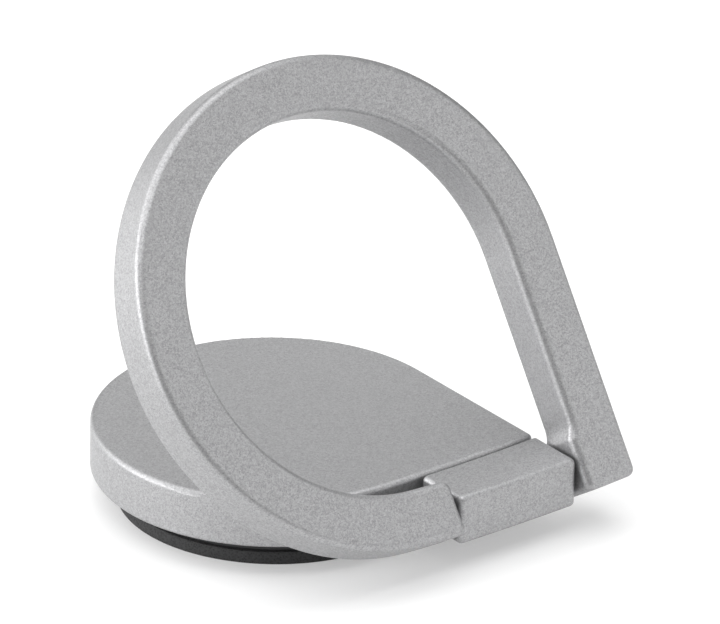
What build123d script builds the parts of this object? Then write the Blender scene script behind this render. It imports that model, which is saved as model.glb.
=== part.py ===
from build123d import *
import os

# Phone ring holder, in millimetres. The origin is the middle of the glued face and +Z points off the phone.
# +X runs along the hinge pin towards the square corner, and the hinge lies on the -Y side.

# Ring and plate: each outline is a circle with one square corner, and its hinge side bows out a little
ring_outer_radius = 18.0
ring_band = 4.1
ring_gap = 0.65
body_thickness = 3.77
bow_angle = 2.8
edge_round = 0.4
corner_round = 0.45
ring_edge_round = 0.55
ring_corner_round = 0.6
ring_inner_tip_round = 2.0
ring_inner_tip_drop = 1.3
open_angle = 56.5

# Stack between the phone and the plate
pad_inset = 1.75
pad_thickness = 0.95
disc_inset = 0.3
disc_thickness = 1.0
disc_edge_round = 0.15
swivel_gap = 0.3
land_radius = 7.0
land_gap = 0.05

# Cover, a cap that hides the swivel
cover_wall = 1.2
cover_shoulder = 0.6
cover_rim_round = 0.25
pocket_tip_round = 1.0
seat_clearance = 0.05
head_room = 0.3

# Carrier, a floor plate with the hinge block on a tongue
carrier_thickness = 1.3
block_groove = 0.35
block_rear_round = 0.12
tongue_near_inset = 0.8
tongue_far_inset = 1.7
tongue_height = 2.45
tongue_overlap = 1.0

# Hinge pin, pressed into the block and turning in both legs of the ring
hinge_inset = 1.25
hinge_rise = 1.53
pin_radius = 0.6
pin_clearance = 0.03
pin_reach = 4.5
pin_end_gap = 0.2
pin_recess = 0.25
pin_chamfer = 0.12
near_leg_straight = 2.45
leg_gap = 0.25
cut_margin = 1.0
place_tolerance = 0.001

# Swivel rivet and its washers
shank_radius = 1.6
shank_clearance = 0.05
rivet_head_radius = 2.8
rivet_head_thickness = 0.55
rivet_head_depth = 0.05
rivet_head_clearance = 0.2
formed_head_radius = 2.6
formed_head_thickness = 0.45
formed_head_round = 0.25
washer_radius = 4.2
washer_bore_clearance = 0.1
friction_washer_thickness = 0.3
friction_washer_gap = 0.03
retaining_washer_thickness = 0.4
retaining_washer_clearance = 0.02

# Radii and heights that follow
ring_inner_radius = ring_outer_radius - ring_band
plate_radius = ring_inner_radius - ring_gap
pocket_radius = plate_radius - cover_wall
pad_radius = plate_radius - pad_inset
disc_radius = pad_radius - disc_inset
disc_top = pad_thickness + disc_thickness
underside = disc_top + swivel_gap
carrier_top = underside + carrier_thickness
friction_washer_top = carrier_top + friction_washer_thickness
retaining_washer_floor = friction_washer_top + friction_washer_gap
rivet_floor = pad_thickness + rivet_head_depth
rivet_seat = rivet_floor + rivet_head_thickness
formed_head_floor = retaining_washer_floor + retaining_washer_thickness
formed_head_top = formed_head_floor + formed_head_thickness
ceiling = formed_head_top + head_room

# Places of the hinge block, its tongue and the ring's two legs
near_leg_end = near_leg_straight
block_near = near_leg_end + leg_gap
block_far = plate_radius
block_rear = -plate_radius - block_groove
far_leg_face = block_far + leg_gap
tongue_near = block_near + tongue_near_inset
tongue_far = block_far - tongue_far_inset
tongue_inner_end = tongue_overlap - pocket_radius + cover_shoulder
hinge_y = hinge_inset - ring_outer_radius
hinge_z = underside + hinge_rise
pin_start = near_leg_end - pin_reach
pin_end = ring_outer_radius - pin_recess
pin_hole_start = pin_start - pin_end_gap

# Planes that the pieces are drawn on
underside_plane = Plane.XY.offset(underside)
hinge_plane = Plane(origin=(0, hinge_y, hinge_z)).rotated((open_angle, 0, 0))

os.makedirs("parts", exist_ok=True)


def drop_outline(radius, tip_round, tip_drop=0):
    """A circle with one square corner towards +X and -Y, centred on the origin."""
    corner = (radius, -radius - tip_drop)
    with BuildSketch() as outline:
        with BuildLine():
            round_side = CenterArc((0, 0), radius, 0, 270 - bow_angle)
            TangentArc(round_side @ 1, corner, tangent=round_side % 1)
            Line(corner, (radius, 0))
        make_face()
        tip = outline.vertices().sort_by(lambda vertex: vertex.X - vertex.Y)[-1]
        fillet(tip, tip_round)
    return outline.sketch


def rectangle_between(low_x, high_x, low_y, high_y):
    """A rectangle between two X places and two Y places."""
    with BuildSketch() as rectangle:
        with Locations(((low_x + high_x) / 2, (low_y + high_y) / 2)):
            Rectangle(high_x - low_x, high_y - low_y)
    return rectangle.sketch


def axle_circle(radius):
    """A circle on the hinge's axis, drawn on a plane across it."""
    with BuildSketch() as circle:
        with Locations((hinge_y, hinge_z)):
            Circle(radius)
    return circle.sketch


def is_on_leg_end(vertex):
    """Whether a corner lies on one of the two faces that meet the hinge block's ends."""
    return min(abs(vertex.X - near_leg_end), abs(vertex.X - far_leg_face)) < place_tolerance


def is_before_middle(shape):
    """Whether a corner or an edge lies before the middle between the hinge and the plate."""
    return shape.center().Y < (hinge_y - plate_radius) / 2


# Adhesive pad, a foam disc that stays on the phone
with BuildPart() as adhesive_pad:
    with BuildSketch():
        Circle(pad_radius)
    extrude(amount=pad_thickness)

# Base disc, with a raised land that the carrier turns on and a recess for the rivet's flat head
with BuildPart() as base_disc:
    with BuildSketch(Plane.XY.offset(pad_thickness)):
        Circle(disc_radius)
    extrude(amount=disc_thickness)
    fillet(base_disc.edges().filter_by(GeomType.CIRCLE), disc_edge_round)
    with BuildSketch(Plane.XY.offset(disc_top)):
        Circle(land_radius)
    extrude(amount=swivel_gap - land_gap)
    with BuildSketch(Plane.XY.offset(pad_thickness)):
        Circle(rivet_head_radius + rivet_head_clearance)
    extrude(amount=rivet_seat - pad_thickness, mode=Mode.SUBTRACT)
    with BuildSketch(Plane.XY.offset(rivet_seat)):
        Circle(shank_radius)
    extrude(amount=underside - rivet_seat, mode=Mode.SUBTRACT)

# Swivel rivet, with a flat head under the disc and a formed head above the washers
with BuildPart() as swivel_rivet:
    with BuildSketch(Plane.XY.offset(rivet_floor)):
        Circle(rivet_head_radius)
    extrude(amount=rivet_head_thickness)
    with BuildSketch(Plane.XY.offset(rivet_seat)):
        Circle(shank_radius)
    extrude(amount=formed_head_floor - rivet_seat)
    with BuildSketch(Plane.XY.offset(formed_head_floor)):
        Circle(formed_head_radius)
    extrude(amount=formed_head_thickness)
    fillet(swivel_rivet.faces().sort_by(Axis.Z)[-1].edges(), formed_head_round)

# Friction washer, lying on the carrier
with BuildPart() as friction_washer:
    with BuildSketch(Plane.XY.offset(carrier_top)):
        Circle(washer_radius)
        Circle(shank_radius + washer_bore_clearance, mode=Mode.SUBTRACT)
    extrude(amount=friction_washer_thickness)

# Retaining washer, held down by the formed head
with BuildPart() as retaining_washer:
    with BuildSketch(Plane.XY.offset(retaining_washer_floor)):
        Circle(washer_radius)
        Circle(shank_radius + retaining_washer_clearance, mode=Mode.SUBTRACT)
    extrude(amount=retaining_washer_thickness)

# Carrier: the hinge block, the floor plate and the tongue that joins them
with BuildPart() as carrier:
    with BuildSketch(underside_plane) as block_outline:
        add(drop_outline(ring_outer_radius, corner_round))
        add(drop_outline(plate_radius + block_groove, corner_round), mode=Mode.SUBTRACT)
        add(rectangle_between(block_near, block_far, -ring_outer_radius - cut_margin, 0), mode=Mode.INTERSECT)
        fillet(block_outline.vertices().filter_by(is_before_middle), corner_round)
    extrude(amount=body_thickness)
    fillet(carrier.faces().filter_by(Axis.Z).edges().filter_by(is_before_middle), edge_round)
    fillet(carrier.faces().sort_by(Axis.Y)[-1].edges(), block_rear_round)
    with BuildSketch(underside_plane):
        add(drop_outline(pocket_radius - seat_clearance, pocket_tip_round))
    extrude(amount=carrier_thickness)
    with BuildSketch(underside_plane):
        add(rectangle_between(tongue_near, tongue_far, block_rear - tongue_overlap, tongue_inner_end))
    extrude(amount=tongue_height)
    with BuildSketch(underside_plane):
        Circle(shank_radius + shank_clearance)
    extrude(amount=carrier_thickness, mode=Mode.SUBTRACT)
    with BuildSketch(Plane.YZ.offset(block_near)):
        add(axle_circle(pin_radius))
    extrude(amount=block_far - block_near, mode=Mode.SUBTRACT)

# Top cover, a cap with a shoulder that seats on the carrier and a notch for the tongue
with BuildPart() as top_cover:
    with BuildSketch(underside_plane):
        add(drop_outline(plate_radius, corner_round))
    extrude(amount=body_thickness)
    fillet(top_cover.faces().sort_by(Axis.Z)[-1].edges(), edge_round)
    fillet(top_cover.faces().sort_by(Axis.Z)[0].edges(), cover_rim_round)
    with BuildSketch(underside_plane):
        add(drop_outline(pocket_radius, pocket_tip_round))
    extrude(amount=carrier_thickness, mode=Mode.SUBTRACT)
    with BuildSketch(Plane.XY.offset(carrier_top)):
        add(drop_outline(pocket_radius - cover_shoulder, pocket_tip_round))
    extrude(amount=ceiling - carrier_top, mode=Mode.SUBTRACT)
    with BuildSketch(underside_plane):
        add(
            rectangle_between(
                tongue_near - seat_clearance,
                tongue_far + seat_clearance,
                block_rear - tongue_overlap,
                tongue_inner_end + seat_clearance,
            )
        )
    extrude(amount=tongue_height + seat_clearance, mode=Mode.SUBTRACT)

# Hinge pin
with BuildPart() as hinge_pin:
    with BuildSketch(Plane.YZ.offset(pin_start)):
        add(axle_circle(pin_radius))
    extrude(amount=pin_end - pin_start)
    chamfer(hinge_pin.edges().filter_by(GeomType.CIRCLE), pin_chamfer)

# Ring, drawn folded on the hinge's own plane, with the block's place cut from its straight side
with BuildPart() as ring:
    with BuildSketch(hinge_plane.offset(-hinge_rise)) as band:
        with Locations((0, -hinge_y)):
            add(drop_outline(ring_outer_radius, ring_corner_round))
            add(
                drop_outline(ring_inner_radius, ring_inner_tip_round, ring_inner_tip_drop),
                mode=Mode.SUBTRACT,
            )
            add(
                rectangle_between(
                    near_leg_end,
                    far_leg_face,
                    -ring_outer_radius - cut_margin,
                    -ring_inner_radius + ring_inner_tip_round,
                ),
                mode=Mode.SUBTRACT,
            )
        fillet(band.vertices().filter_by(is_on_leg_end), ring_corner_round)
    extrude(amount=body_thickness)
    fillet(ring.faces().filter_by(hinge_plane).edges(), ring_edge_round)
    with BuildSketch(Plane.YZ.offset(pin_hole_start)):
        add(axle_circle(pin_radius + pin_clearance))
    extrude(amount=ring_outer_radius + cut_margin - pin_hole_start, mode=Mode.SUBTRACT)

pieces = {
    "adhesive_pad": adhesive_pad,
    "base_disc": base_disc,
    "swivel_rivet": swivel_rivet,
    "friction_washer": friction_washer,
    "retaining_washer": retaining_washer,
    "carrier": carrier,
    "top_cover": top_cover,
    "hinge_pin": hinge_pin,
    "ring": ring,
}
for piece_name, piece in pieces.items():
    piece.part.label = piece_name
    export_step(piece.part, f"parts/{piece_name}.step")
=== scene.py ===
from math import cos, radians, sin

import bpy
from bpy.props import FloatProperty, FloatVectorProperty, IntProperty, PointerProperty
from bpy.types import Operator, Panel, PropertyGroup
from mathutils import Matrix, Vector


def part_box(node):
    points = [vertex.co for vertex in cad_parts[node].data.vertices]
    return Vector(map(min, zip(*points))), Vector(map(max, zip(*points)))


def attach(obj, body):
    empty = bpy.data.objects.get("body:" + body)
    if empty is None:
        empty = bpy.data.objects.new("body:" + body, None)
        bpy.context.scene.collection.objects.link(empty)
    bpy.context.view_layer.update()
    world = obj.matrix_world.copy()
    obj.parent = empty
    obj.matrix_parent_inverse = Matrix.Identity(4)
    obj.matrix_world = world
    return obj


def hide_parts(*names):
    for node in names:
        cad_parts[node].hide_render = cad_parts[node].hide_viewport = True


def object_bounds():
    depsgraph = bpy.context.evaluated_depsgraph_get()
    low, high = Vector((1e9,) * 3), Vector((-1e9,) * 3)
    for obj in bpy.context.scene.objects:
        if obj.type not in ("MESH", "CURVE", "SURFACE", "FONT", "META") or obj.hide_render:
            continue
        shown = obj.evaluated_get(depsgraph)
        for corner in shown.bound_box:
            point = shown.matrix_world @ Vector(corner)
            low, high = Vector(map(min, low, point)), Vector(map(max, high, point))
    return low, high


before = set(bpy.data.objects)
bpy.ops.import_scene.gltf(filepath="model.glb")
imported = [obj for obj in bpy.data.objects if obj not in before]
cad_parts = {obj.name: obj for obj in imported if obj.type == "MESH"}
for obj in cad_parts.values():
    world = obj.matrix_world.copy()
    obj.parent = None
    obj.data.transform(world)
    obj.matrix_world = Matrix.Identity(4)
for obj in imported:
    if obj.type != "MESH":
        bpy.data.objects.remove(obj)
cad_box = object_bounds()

bl_info = {
    "name": "Phone ring holder",
    "version": (1, 0, 0),
    "blender": (4, 5, 0),
    "location": "View3D > Sidebar > Ring holder",
    "description": "Finishes the packed phone ring holder and sets it on a white studio floor",
    "category": "Object",
}

PAINTED_NODES = ("ring", "top_cover", "carrier")
STEEL_NODES = ("hinge_pin", "swivel_rivet", "retaining_washer")
WHITE = (1.0, 1.0, 1.0, 1.0)
SMOOTH_ANGLE = radians(50.0)
FLOOR_SIDES = 96
FLOOR_DROP = 0.00002
LAMP_TARGET = (0.0, 0.0, 0.015)
PHOTO_WIDTH = 720
SENSOR_WIDTH = 36.0
CLIP_START = 0.01
CLIP_END = 20.0


def colour_property(name, description, default):
    """A colour that the sidebar shows with a picker."""
    return FloatVectorProperty(
        name=name, description=description, default=default, subtype="COLOR", min=0.0, max=1.0
    )


def length_property(name, description, default):
    """A length in metres, with enough digits for a small object."""
    return FloatProperty(
        name=name, description=description, default=default, min=0.0, unit="LENGTH", precision=5
    )


def angle_property(name, description, degrees):
    """An angle, given in degrees."""
    return FloatProperty(name=name, description=description, default=radians(degrees), subtype="ANGLE")


def share_property(name, description, default):
    """A number from 0 to 1."""
    return FloatProperty(
        name=name, description=description, default=default, min=0.0, max=1.0, subtype="FACTOR"
    )


def range_property(name, description, default):
    """Two numbers from 0 to 1: where a range begins and where it ends."""
    return FloatVectorProperty(name=name, description=description, default=default, size=2, min=0.0, max=1.0)


def amount_property(name, description, default):
    """A number that is never below 0."""
    return FloatProperty(name=name, description=description, default=default, min=0.0)


class RingHolderPaint(PropertyGroup):
    """Silver paint on the ring, the cover and the hinge block."""

    # Painted glint and painted shade: each flake's colour is set at random between these two, standing in
    # for flakes turned towards or away from the light.
    painted_shade_flake: colour_property("Dark flake", "Flakes that lie turned away", (0.287, 0.287, 0.2915))
    painted_glint_flake: colour_property("Bright flake", "Flakes that glint", (0.499, 0.499, 0.507))
    flake_size: length_property("Flake size", "Distance between the large flakes", 0.00011)
    fine_layers: amount_property("Fine layers", "Layers of finer flakes between the large ones", 1.0)
    fine_share: share_property("Fine share", "How much a finer layer counts beside the larger one", 1.0)
    flake_tilt: share_property("Flake tilt", "How far the flakes lean out of the surface", 0.1)
    metal_share: share_property("Metal share", "How metallic the paint looks", 0.85)
    roughness: share_property("Roughness", "Roughness of the dull flakes", 0.53)
    gloss: share_property("Gloss", "How much smoother the bright flakes are", 0.08)
    peel_size: length_property("Peel size", "Distance between the soft waves of the sprayed coat", 0.0007)
    peel_height: length_property("Peel height", "Height of those waves", 0.000006)


class RingHolderHardware(PropertyGroup):
    """Steel pin, rivet and washers."""

    steel: colour_property("Steel", "Pin, rivet and retaining washer", (0.56, 0.56, 0.57))
    dull_steel: colour_property("Dull steel", "Steel in the drawn lines", (0.448, 0.448, 0.456))
    steel_stops: range_property("Steel stops", "Where the lines end and the plain steel begins", (0.3, 0.7))
    steel_roughness: range_property("Steel roughness", "From the lines to the plain steel", (0.22, 0.4))
    streak: length_property("Streak", "Distance between drawn lines in the steel", 0.00008)
    streak_stretch: share_property("Streak stretch", "How little the lines change along the pin", 0.05)
    washer: colour_property("Washer", "Friction washer", (0.75, 0.74, 0.7))
    cloudy_washer: colour_property("Cloudy washer", "Friction washer in the clouds", (0.675, 0.666, 0.63))
    washer_stops: range_property("Washer stops", "Where clouds end and the clear part begins", (0.35, 0.65))
    washer_roughness: range_property("Washer roughness", "From the clouds to the clear part", (0.4, 0.55))
    cloud_size: length_property("Cloud size", "Distance between the clouds", 1 / 900)


class RingHolderDisc(PropertyGroup):
    """Black moulded disc under the plate."""

    plastic: colour_property("Plastic", "Disc where it is clean", (0.02, 0.02, 0.021))
    scuffed: colour_property("Scuffed", "Disc where it is rubbed", (0.03, 0.03, 0.0315))
    scuff_stops: range_property("Scuff stops", "Where clean plastic ends and scuffs are full", (0.4, 0.8))
    scuff_size: length_property("Scuff size", "Distance between the scuffs", 0.002)
    roughness: range_property("Roughness", "From clean to rubbed", (0.42, 0.62))
    grain_size: length_property("Grain size", "Distance between the grains of the mould", 1 / 7000)
    grain_height: length_property("Grain height", "Height of those grains", 0.00002)


class RingHolderFoam(PropertyGroup):
    """Black foam pad under the disc."""

    foam: colour_property("Foam", "Cut side of the foam pad", (0.05, 0.05, 0.051))
    # Painted shade: the bottoms of the open cells are coloured darker, standing in for the shade that falls
    # in them.
    painted_pit_shade: colour_property("Pit", "Bottom of the open cells", (0.0225, 0.0225, 0.02295))
    pit_shade_stops: range_property("Pit stops", "Where the pits end and the foam begins", (0.05, 0.5))
    roughness: range_property("Roughness", "From the pits to the foam", (0.95, 0.8))
    cell_size: length_property("Cell size", "Distance between the foam's cells", 0.00016)
    cell_depth: length_property("Cell depth", "Depth of those cells", 0.00004)
    bulge: length_property("Bulge", "How far the side swells at half height", 0.00012)
    steps: IntProperty(name="Steps", description="Rows of faces on the side", default=10, min=2)
    sides: IntProperty(name="Sides", description="Faces around the side", default=160, min=16)


class RingHolderStage(PropertyGroup):
    """Floor, even light and camera."""

    floor: colour_property("Floor", "Plain pale floor", (0.7, 0.7, 0.7))
    floor_roughness: share_property("Floor roughness", "How dull the floor is", 0.9)
    floor_radius: length_property("Floor radius", "Half the floor's width", 4.0)
    floor_lift: amount_property("Floor lift", "Light added to the floor where it is seen or mirrored", 0.31)
    sky: amount_property("Sky", "Strength of the even light all round", 0.16)
    azimuth: angle_property("Azimuth", "Camera's turn", -38.457)
    elevation: angle_property("Elevation", "Camera's height", 26.161)
    roll: angle_property("Roll", "Camera's roll", 0.868)
    distance: length_property("Distance", "From the camera to the origin's depth", 0.861605)
    aside: length_property("Aside", "Camera's step to its right", 0.006214)
    above: length_property("Above", "Camera's step upwards", 0.012941)
    focal_pixels: amount_property("Focal length", "In pixels of the photograph", 11960.9)


def settings():
    """All the values that the sidebar shows."""
    return bpy.context.scene.ring_holder


def new_material(name):
    """A node material, its tree and its shader."""
    material = bpy.data.materials.new(name)
    material.use_nodes = True
    return material, material.node_tree, material.node_tree.nodes["Principled BSDF"]


def object_point(tree):
    """The point on the piece, in the piece's own coordinates, that patterns are read at."""
    return tree.nodes.new("ShaderNodeTexCoord").outputs["Object"]


def fill(tree, socket, value):
    """Links an input to another socket, or sets it to a plain value."""
    if isinstance(value, bpy.types.NodeSocket):
        tree.links.new(value, socket)
    else:
        socket.default_value = value


def add_node(tree, kind, **values):
    """A node whose inputs are filled by name, with underscores in place of spaces."""
    node = tree.nodes.new(kind)
    for name, value in values.items():
        fill(tree, node.inputs[name.replace("_", " ")], value)
    return node


def vector_math(tree, operation, *values):
    """The result of an operation on vectors."""
    node = tree.nodes.new("ShaderNodeVectorMath")
    node.operation = operation
    for socket, value in zip(node.inputs, values):
        fill(tree, socket, value)
    return node.outputs["Vector"]


def noise(tree, point, size, layers):
    """Soft noise of a given size, with finer layers in it."""
    return add_node(tree, "ShaderNodeTexNoise", Vector=point, Scale=1.0 / size, Detail=layers).outputs["Fac"]


def bump(tree, pattern, height):
    """The surface's direction over a pattern of a given height."""
    return add_node(tree, "ShaderNodeBump", Height=pattern, Distance=height).outputs["Normal"]


def value_range(tree, pattern, low, high):
    """A pattern from 0 to 1, moved to run from low to high."""
    return add_node(tree, "ShaderNodeMapRange", Value=pattern, To_Min=low, To_Max=high).outputs["Result"]


def mottle(tree, shader, pattern, tones, roughness, stops=(0.0, 1.0)):
    """Runs the shader between two tones and two roughnesses by a pattern; the tones lie at the stops."""
    ramp = add_node(tree, "ShaderNodeValToRGB", Fac=pattern)
    for element, stop, tone in zip(ramp.color_ramp.elements, stops, tones):
        element.position = stop
        element.color = (*tone, 1.0)
    fill(tree, shader.inputs["Base Color"], ramp.outputs["Color"])
    fill(tree, shader.inputs["Roughness"], value_range(tree, pattern, *roughness))


def silver_paint():
    """Sprayed silver paint: flakes of two sizes and of uneven lean, on a softly waved coat; each flake's
    colour lies at random between a painted shade and a painted glint.
    """
    paint = settings().paint
    material, tree, shader = new_material("silver_paint")
    point = object_point(tree)
    flakes = add_node(
        tree,
        "ShaderNodeTexVoronoi",
        Vector=point,
        Scale=1.0 / paint.flake_size,
        Detail=paint.fine_layers,
        Roughness=paint.fine_share,
    )
    flakes.normalize = True
    lean = flakes.outputs["Color"]
    # Each flake's random value picks its colour between the painted shade and the painted glint, and also
    # sets its roughness.
    turn = add_node(tree, "ShaderNodeSeparateColor", Color=lean).outputs["Red"]
    tones = (paint.painted_shade_flake, paint.painted_glint_flake)
    mottle(tree, shader, turn, tones, (paint.roughness, paint.roughness - paint.gloss))
    shader.inputs["Metallic"].default_value = paint.metal_share
    waves = bump(tree, noise(tree, point, paint.peel_size, layers=2.0), paint.peel_height)
    tilt = vector_math(tree, "MULTIPLY_ADD", lean, (paint.flake_tilt,) * 3, (-paint.flake_tilt / 2,) * 3)
    leaning = vector_math(tree, "ADD", waves, tilt)
    fill(tree, shader.inputs["Normal"], vector_math(tree, "NORMALIZE", leaning))
    return material


def drawn_steel():
    """Plain steel with fine lines along the pin."""
    hardware = settings().hardware
    material, tree, shader = new_material("steel")
    stretch = (hardware.streak_stretch, 1.0, 1.0)
    along = add_node(tree, "ShaderNodeMapping", Vector=object_point(tree), Scale=stretch).outputs["Vector"]
    lines = noise(tree, along, hardware.streak, layers=2.0)
    tones = (hardware.dull_steel, hardware.steel)
    mottle(tree, shader, lines, tones, hardware.steel_roughness, hardware.steel_stops)
    shader.inputs["Metallic"].default_value = 1.0
    return material


def washer_plastic():
    """Natural washer plastic, slightly cloudy."""
    hardware = settings().hardware
    material, tree, shader = new_material("washer_plastic")
    clouds = noise(tree, object_point(tree), hardware.cloud_size, layers=3.0)
    tones = (hardware.cloudy_washer, hardware.washer)
    mottle(tree, shader, clouds, tones, hardware.washer_roughness, hardware.washer_stops)
    return material


def black_plastic():
    """Moulded black plastic with a fine spark-eroded grain."""
    disc = settings().disc
    material, tree, shader = new_material("black_plastic")
    point = object_point(tree)
    scuffs = noise(tree, point, disc.scuff_size, layers=4.0)
    mottle(tree, shader, scuffs, (disc.plastic, disc.scuffed), disc.roughness, disc.scuff_stops)
    grain = noise(tree, point, disc.grain_size, layers=3.0)
    fill(tree, shader.inputs["Normal"], bump(tree, grain, disc.grain_height))
    return material


def adhesive_foam():
    """Black foam tape, with the small open cells of its cut side; the bottoms of the cells are coloured
    darker as painted shade.
    """
    foam = settings().foam
    material, tree, shader = new_material("adhesive_foam")
    cells = add_node(tree, "ShaderNodeTexVoronoi", Vector=object_point(tree), Scale=1.0 / foam.cell_size)
    depth = cells.outputs["Distance"]
    # The cells' depth also colours their bottoms darker, as painted shade.
    mottle(tree, shader, depth, (foam.painted_pit_shade, foam.foam), foam.roughness, foam.pit_shade_stops)
    fill(tree, shader.inputs["Normal"], bump(tree, depth, foam.cell_depth))
    return material


def finish_nodes(names, material):
    """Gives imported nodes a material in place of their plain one."""
    for name in names:
        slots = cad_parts[name].data.materials
        slots.clear()
        slots.append(material)


class RINGHOLDER_OT_paint(Operator):
    """Paints the ring, the cover and the hinge block"""

    bl_idname = "ringholder.paint"
    bl_label = "Paint the ring and plate"

    def execute(self, context):
        finish_nodes(PAINTED_NODES, silver_paint())
        return {"FINISHED"}


class RINGHOLDER_OT_hardware(Operator):
    """Finishes the pin, the rivet and both washers"""

    bl_idname = "ringholder.hardware"
    bl_label = "Finish the hardware"

    def execute(self, context):
        finish_nodes(STEEL_NODES, drawn_steel())
        finish_nodes(("friction_washer",), washer_plastic())
        return {"FINISHED"}


class RINGHOLDER_OT_disc(Operator):
    """Finishes the moulded disc under the plate"""

    bl_idname = "ringholder.disc"
    bl_label = "Finish the base disc"

    def execute(self, context):
        finish_nodes(("base_disc",), black_plastic())
        return {"FINISHED"}


class RINGHOLDER_OT_foam_pad(Operator):
    """Models the foam pad: a die-cut disc whose side swells a little"""

    bl_idname = "ringholder.foam_pad"
    bl_label = "Model the foam pad"

    def execute(self, context):
        foam = settings().foam
        low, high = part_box("adhesive_pad")
        radius = (high.x - low.x) / 2
        rise = (high.z - low.z) / foam.steps
        levels = [2 * step / foam.steps - 1 for step in range(foam.steps + 1)]
        radii = [radius - foam.bulge * level**2 for level in levels]
        bpy.ops.object.select_all(action="DESELECT")
        bpy.ops.mesh.primitive_circle_add(
            vertices=foam.sides, radius=radii[0], fill_type="NGON", location=(0.0, 0.0, low.z)
        )
        pad = context.object
        pad.name = "foam_pad"
        pad.data.name = "foam_pad"
        bpy.ops.object.transform_apply(location=True, rotation=True, scale=True)
        bpy.ops.object.mode_set(mode="EDIT")
        bpy.ops.mesh.select_all(action="SELECT")
        for before, after in zip(radii, radii[1:]):
            bpy.ops.mesh.extrude_region_move(TRANSFORM_OT_translate={"value": (0.0, 0.0, rise)})
            scale = after / before
            bpy.ops.transform.resize(value=(scale, scale, 1.0))
        bpy.ops.mesh.select_all(action="SELECT")
        bpy.ops.mesh.normals_make_consistent(inside=False)
        bpy.ops.object.mode_set(mode="OBJECT")
        bpy.ops.object.shade_smooth_by_angle(angle=SMOOTH_ANGLE)
        pad.data.materials.append(adhesive_foam())
        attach(pad, "base")
        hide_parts("adhesive_pad")
        return {"FINISHED"}


def floor_material():
    """Pale floor that keeps the shadow, lifted to white where it is seen or mirrored."""
    stage = settings().stage
    material, tree, shader = new_material("floor")
    shader.inputs["Base Color"].default_value = (*stage.floor, 1.0)
    shader.inputs["Roughness"].default_value = stage.floor_roughness
    shader.inputs["Specular IOR Level"].default_value = 0.0
    shader.inputs["Emission Color"].default_value = WHITE
    rays = tree.nodes.new("ShaderNodeLightPath")
    seen = rays.outputs["Is Camera Ray"]
    for kind in ("Is Glossy Ray", "Is Transmission Ray"):
        either = tree.nodes.new("ShaderNodeMath")
        either.operation = "ADD"
        fill(tree, either.inputs[0], seen)
        fill(tree, either.inputs[1], rays.outputs[kind])
        seen = either.outputs["Value"]
    fill(tree, shader.inputs["Emission Strength"], value_range(tree, seen, 0.0, stage.floor_lift))
    return material


def white_world():
    """Even white light from all round."""
    world = bpy.data.worlds.new("studio")
    world.use_nodes = True
    background = world.node_tree.nodes["Background"]
    background.inputs["Color"].default_value = WHITE
    background.inputs["Strength"].default_value = settings().stage.sky
    return world


def add_softbox(name, place, width, height, power):
    """A rectangular soft light that looks at the part."""
    bpy.ops.object.select_all(action="DESELECT")
    bpy.ops.object.light_add(type="AREA", location=place)
    lamp = bpy.context.object
    lamp.name = name
    lamp.rotation_euler = (Vector(LAMP_TARGET) - Vector(place)).to_track_quat("-Z", "Y").to_euler()
    lamp.data.shape = "RECTANGLE"
    lamp.data.size = width
    lamp.data.size_y = height
    lamp.data.energy = power


def add_camera():
    """The camera at the photograph's place."""
    stage = settings().stage
    turn, rise, roll = stage.azimuth, stage.elevation, stage.roll
    back = Vector((sin(turn) * cos(rise), -cos(turn) * cos(rise), sin(rise)))
    level = Vector((cos(turn), sin(turn), 0.0))
    upright = back.cross(level)
    right = cos(roll) * level + sin(roll) * upright
    up = cos(roll) * upright - sin(roll) * level
    pose = Matrix((right, up, back)).transposed().to_4x4()
    pose.translation = back * stage.distance + right * stage.aside + up * stage.above
    bpy.ops.object.camera_add()
    camera = bpy.context.object
    camera.matrix_world = pose
    camera.data.sensor_width = SENSOR_WIDTH
    camera.data.lens = stage.focal_pixels / PHOTO_WIDTH * SENSOR_WIDTH
    camera.data.clip_start = CLIP_START
    camera.data.clip_end = CLIP_END
    bpy.context.scene.camera = camera


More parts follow.
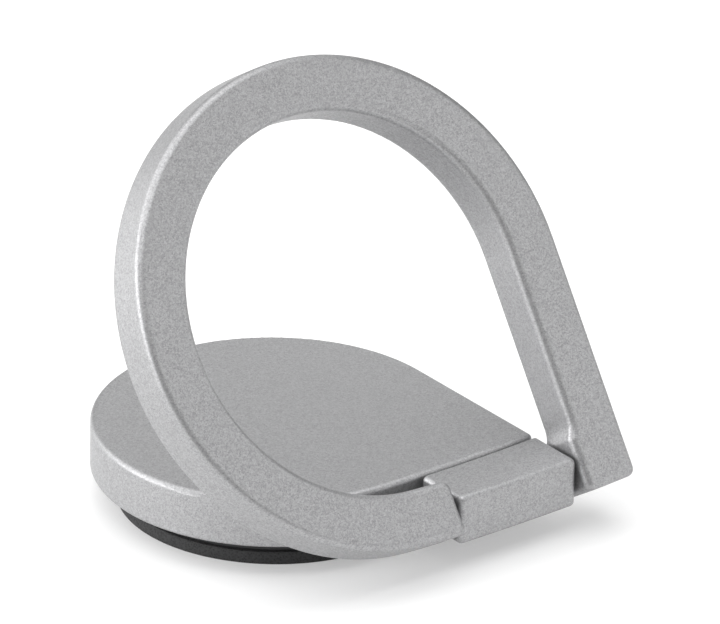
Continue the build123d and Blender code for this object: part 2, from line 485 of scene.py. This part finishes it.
class RINGHOLDER_OT_stage(Operator):
    """Lays the floor and sets the lights and the camera"""

    bl_idname = "ringholder.stage"
    bl_label = "Set the stage"

    def execute(self, context):
        floor_level = cad_box[0].z - FLOOR_DROP
        bpy.ops.object.select_all(action="DESELECT")
        bpy.ops.mesh.primitive_circle_add(
            vertices=FLOOR_SIDES,
            radius=settings().stage.floor_radius,
            fill_type="NGON",
            location=(0.0, 0.0, floor_level),
        )
        floor = context.object
        floor.name = "floor"
        floor.data.materials.append(floor_material())
        context.scene.world = white_world()
        add_softbox("left_softbox", place=(-1.4, 0.4, 0.4), width=1.6, height=0.7, power=14.6)
        add_softbox("back_left_softbox", place=(-0.9, 1.2, 0.8), width=2.0, height=1.5, power=19.9)
        add_softbox("back_right_softbox", place=(0.9, 0.9, 0.6), width=1.0, height=0.8, power=1.6)
        add_softbox("front_right_softbox", place=(1.0, -1.0, 0.5), width=1.6, height=0.9, power=5.7)
        add_softbox("top_softbox", place=(0.0, 0.0, 1.4), width=2.0, height=2.0, power=26.4)
        add_camera()
        context.scene.view_settings.view_transform = "Standard"
        return {"FINISHED"}


class RingHolderSettings(PropertyGroup):
    """All the settings, by group."""

    paint: PointerProperty(type=RingHolderPaint)
    hardware: PointerProperty(type=RingHolderHardware)
    disc: PointerProperty(type=RingHolderDisc)
    foam: PointerProperty(type=RingHolderFoam)
    stage: PointerProperty(type=RingHolderStage)


class RINGHOLDER_PT_sidebar(Panel):
    """Lists the steps and their settings"""

    bl_idname = "RINGHOLDER_PT_sidebar"
    bl_label = "Ring holder"
    bl_space_type = "VIEW_3D"
    bl_region_type = "UI"
    bl_category = "Ring holder"

    def draw(self, context):
        groups = context.scene.ring_holder
        for operator, group in STEPS:
            box = self.layout.box()
            box.operator(operator.bl_idname)
            for name in getattr(groups, group).bl_rna.properties.keys():
                if name not in ("rna_type", "name"):
                    box.prop(getattr(groups, group), name)


STEPS = (
    (RINGHOLDER_OT_paint, "paint"),
    (RINGHOLDER_OT_hardware, "hardware"),
    (RINGHOLDER_OT_disc, "disc"),
    (RINGHOLDER_OT_foam_pad, "foam"),
    (RINGHOLDER_OT_stage, "stage"),
)
CLASSES = (
    RingHolderPaint,
    RingHolderHardware,
    RingHolderDisc,
    RingHolderFoam,
    RingHolderStage,
    RingHolderSettings,
    *(operator for operator, group in STEPS),
    RINGHOLDER_PT_sidebar,
)


def register():
    """Adds the classes and the scene's settings."""
    for cls in CLASSES:
        bpy.utils.register_class(cls)
    bpy.types.Scene.ring_holder = PointerProperty(type=RingHolderSettings)


def unregister():
    """Takes the settings and the classes away again."""
    del bpy.types.Scene.ring_holder
    for cls in reversed(CLASSES):
        bpy.utils.unregister_class(cls)


def main():
    """Runs the steps in order."""
    register()
    bpy.ops.ringholder.paint()
    bpy.ops.ringholder.hardware()
    bpy.ops.ringholder.disc()
    bpy.ops.ringholder.foam_pad()
    bpy.ops.ringholder.stage()


if __name__ == "__main__":
    main()
